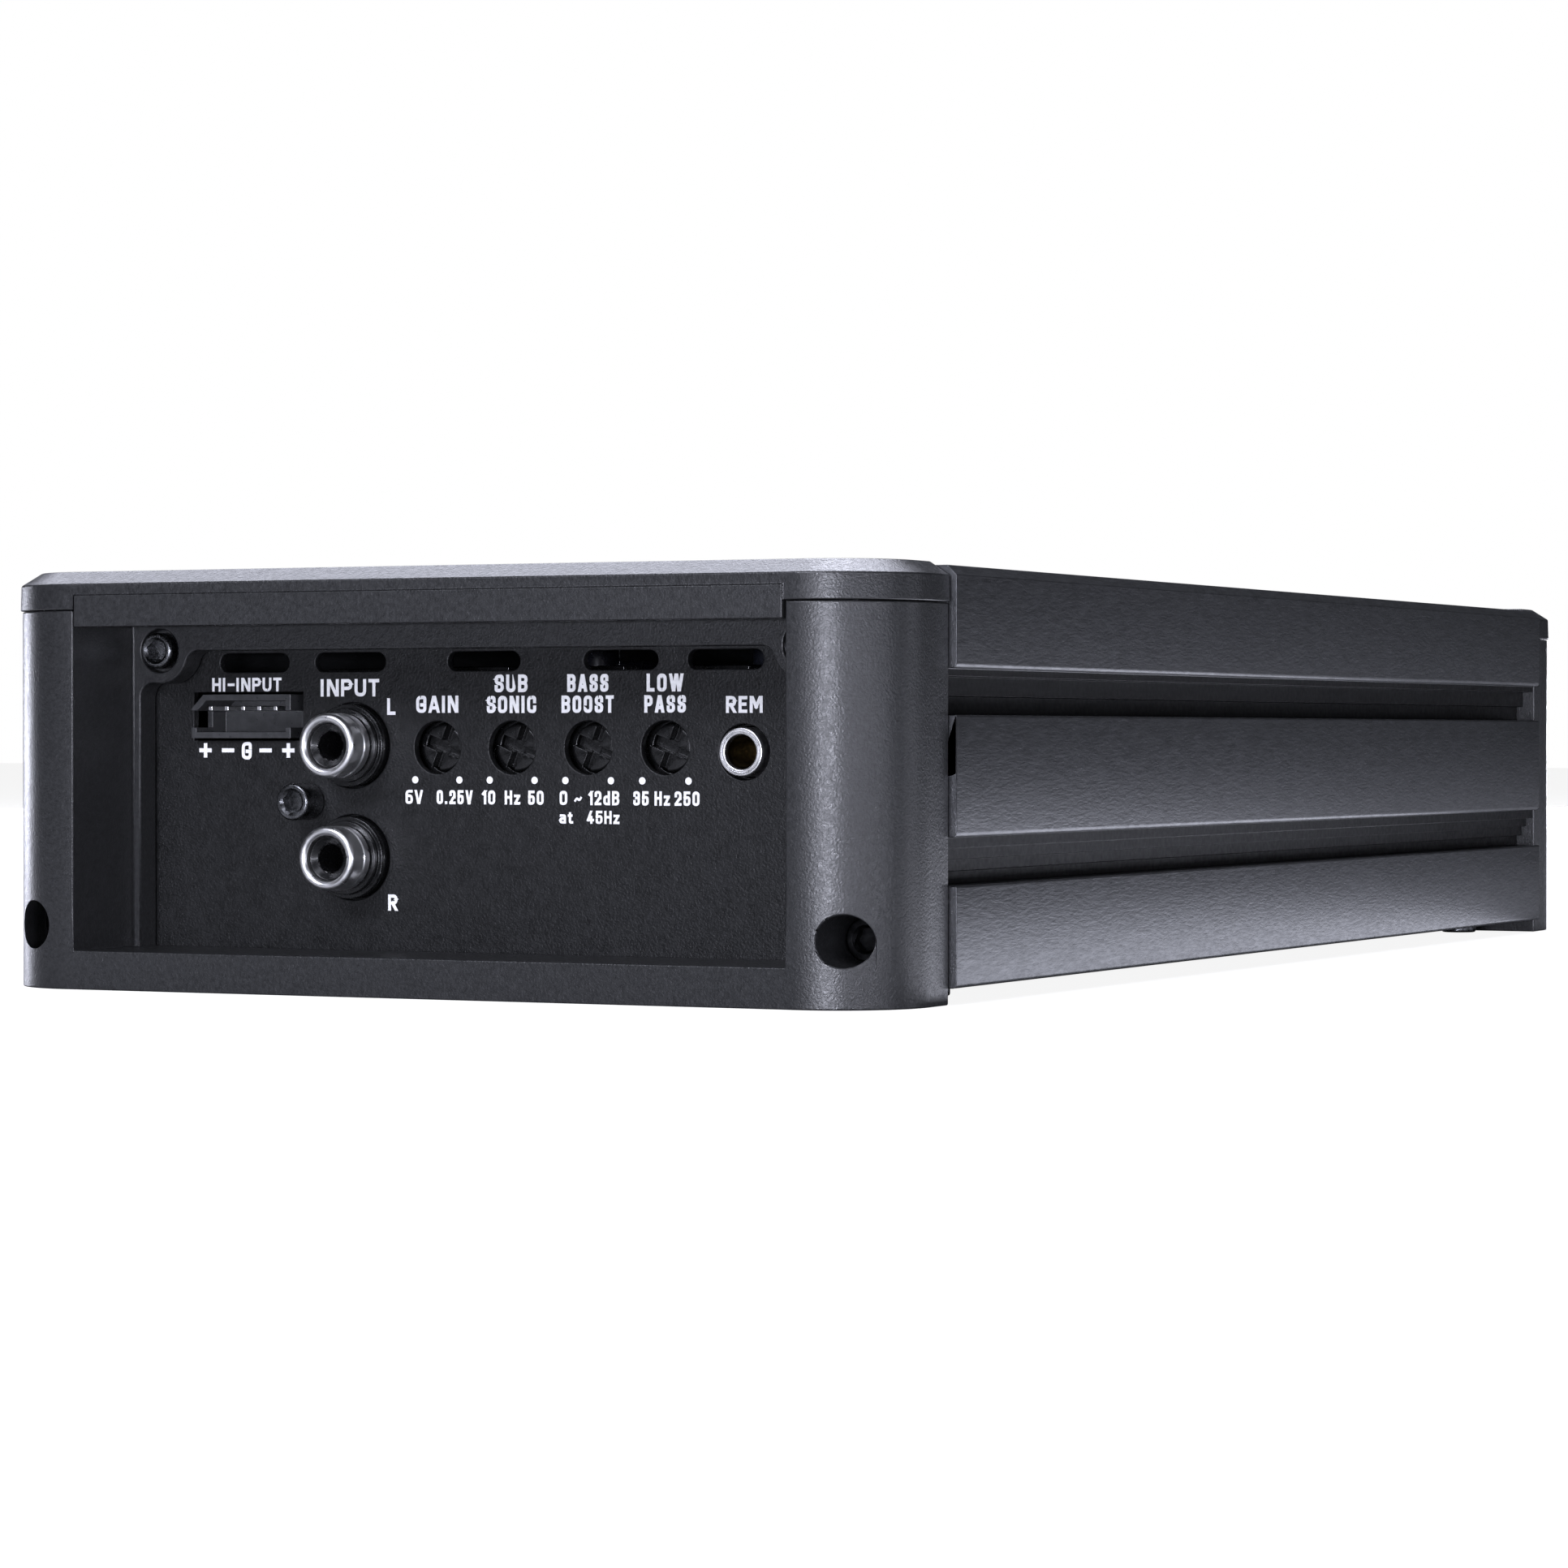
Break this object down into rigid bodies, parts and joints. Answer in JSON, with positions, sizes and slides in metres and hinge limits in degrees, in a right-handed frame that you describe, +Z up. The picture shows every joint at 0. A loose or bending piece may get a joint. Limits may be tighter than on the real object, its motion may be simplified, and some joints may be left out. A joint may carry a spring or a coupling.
{
  "type": "car amplifier",
  "caption": "Compact monoblock car amplifier with a grooved heatsink body, framed ends with lift-off top caps, phono inputs, trimmer controls and screw terminals.",
  "frame": {"origin": "middle of the amplifier's footprint, on the surface that it stands on", "axes": "+Z up, +Y from the control end towards the power end (the longest side), +X to the right seen from the control end"},
  "size_m": [0.1316, 0.2746, 0.054],
  "materials": {
    "frame_plastic": "fine moulded texture",
    "sink_aluminium": "black anodised, brushed along the length",
    "panel_steel": "black textured powder coat",
    "cover_steel": "black paint",
    "black_plastic": "moulded",
    "black_screw": "black oxide",
    "nickel": "nickel plated",
    "board": "solder mask on glass epoxy",
    "copper_winding": "enamelled copper wire",
    "capacitor_sleeve": "shrink sleeve",
    "bare_aluminium": "mill finish",
    "fuse_plastic": "tinted clear plastic",
    "led_lens": "diffused lens"
  },
  "bodies": {
    "housing": {"bass_boost_potentiometer": "black_plastic", "board_riser": "black_plastic", "bottom_cover": "cover_steel", "control_board": "board", "cover_screw_1": "black_screw", "cover_screw_2": "black_screw", "cover_screw_3": "black_screw", "cover_screw_4": "black_screw", "front_ear_screw_left": "black_screw", "front_ear_screw_right": "black_screw", "front_foot_screw_left": "black_screw", "front_foot_screw_right": "black_screw", "front_frame": "frame_plastic", "front_panel": "panel_steel", "fuse_socket": "black_plastic", "gain_potentiometer": "black_plastic", "heatsink_body": "sink_aluminium", "low_pass_potentiometer": "black_plastic", "main_board": "board", "output_clamp_bar": "bare_aluminium", "output_inductor": "copper_winding", "output_transistor_1": "black_plastic", "output_transistor_2": "black_plastic", "power_terminal_block": "black_plastic", "rail_capacitor_1": "capacitor_sleeve", "rail_capacitor_2": "capacitor_sleeve", "rca_block": "black_plastic", "rca_block_screw": "black_screw", "rca_sleeve_lower": "nickel", "rca_sleeve_upper": "nickel", "rear_ear_screw_left": "black_screw", "rear_ear_screw_right": "black_screw", "rear_foot_screw_left": "black_screw", "rear_foot_screw_right": "black_screw", "rear_frame": "frame_plastic", "rear_panel": "panel_steel", "remote_jack": "nickel", "speaker_input_header": "black_plastic", "speaker_terminal_block": "black_plastic", "status_led": "led_lens", "subsonic_potentiometer": "black_plastic", "supply_capacitor_1": "capacitor_sleeve", "supply_capacitor_2": "capacitor_sleeve", "supply_clamp_bar": "bare_aluminium", "supply_transformer": "copper_winding", "supply_transistor_1": "black_plastic", "supply_transistor_2": "black_plastic"},
    "gain_control": {"gain_shaft": "black_plastic"},
    "subsonic_control": {"subsonic_shaft": "black_plastic"},
    "bass_boost_control": {"bass_boost_shaft": "black_plastic"},
    "low_pass_control": {"low_pass_shaft": "black_plastic"},
    "front_top_cap": {"front_cap": "frame_plastic"},
    "rear_top_cap": {"rear_cap": "frame_plastic"},
    "blade_fuse_a": {"fuse_a": "fuse_plastic"},
    "blade_fuse_b": {"fuse_b": "fuse_plastic"},
    "battery_clamp": {"battery_clamp_screw": "nickel"},
    "remote_clamp": {"remote_clamp_screw": "nickel"},
    "ground_clamp": {"ground_clamp_screw": "nickel"},
    "speaker_plus_clamp": {"speaker_plus_clamp_screw": "nickel"},
    "speaker_minus_clamp": {"speaker_minus_clamp_screw": "nickel"}
  },
  "joints": [
    {"name": "gain_turn", "type": "hinge", "parent": "housing", "child": "gain_control", "pos_m": [-0.00716, -0.1179, 0.03125], "axis": [0, 1, 0], "range_deg": [-150, 150]},
    {"name": "subsonic_turn", "type": "hinge", "parent": "housing", "child": "subsonic_control", "pos_m": [0.00384, -0.1179, 0.03125], "axis": [0, 1, 0], "range_deg": [-150, 150]},
    {"name": "bass_boost_turn", "type": "hinge", "parent": "housing", "child": "bass_boost_control", "pos_m": [0.01484, -0.1179, 0.03125], "axis": [0, 1, 0], "range_deg": [-150, 150]},
    {"name": "low_pass_turn", "type": "hinge", "parent": "housing", "child": "low_pass_control", "pos_m": [0.02584, -0.1179, 0.03125], "axis": [0, 1, 0], "range_deg": [-150, 150]},
    {"name": "front_cap_lift", "type": "slide", "parent": "housing", "child": "front_top_cap", "axis": [0, 0, 1], "range_m": [0, 0.03]},
    {"name": "rear_cap_lift", "type": "slide", "parent": "housing", "child": "rear_top_cap", "axis": [0, 0, 1], "range_m": [0, 0.03]},
    {"name": "fuse_a_pull", "type": "slide", "parent": "housing", "child": "blade_fuse_a", "axis": [0, 1, 0], "range_m": [0, 0.025]},
    {"name": "fuse_b_pull", "type": "slide", "parent": "housing", "child": "blade_fuse_b", "axis": [0, 1, 0], "range_m": [0, 0.025]},
    {"name": "battery_clamp_down", "type": "slide", "parent": "housing", "child": "battery_clamp", "axis": [0, 0, -1], "range_m": [0, 0.0055]},
    {"name": "remote_clamp_down", "type": "slide", "parent": "housing", "child": "remote_clamp", "axis": [0, 0, -1], "range_m": [0, 0.0045]},
    {"name": "ground_clamp_down", "type": "slide", "parent": "housing", "child": "ground_clamp", "axis": [0, 0, -1], "range_m": [0, 0.0055]},
    {"name": "speaker_plus_clamp_down", "type": "slide", "parent": "housing", "child": "speaker_plus_clamp", "axis": [0, 0, -1], "range_m": [0, 0.0045]},
    {"name": "speaker_minus_clamp_down", "type": "slide", "parent": "housing", "child": "speaker_minus_clamp", "axis": [0, 0, -1], "range_m": [0, 0.0045]}
  ]
}
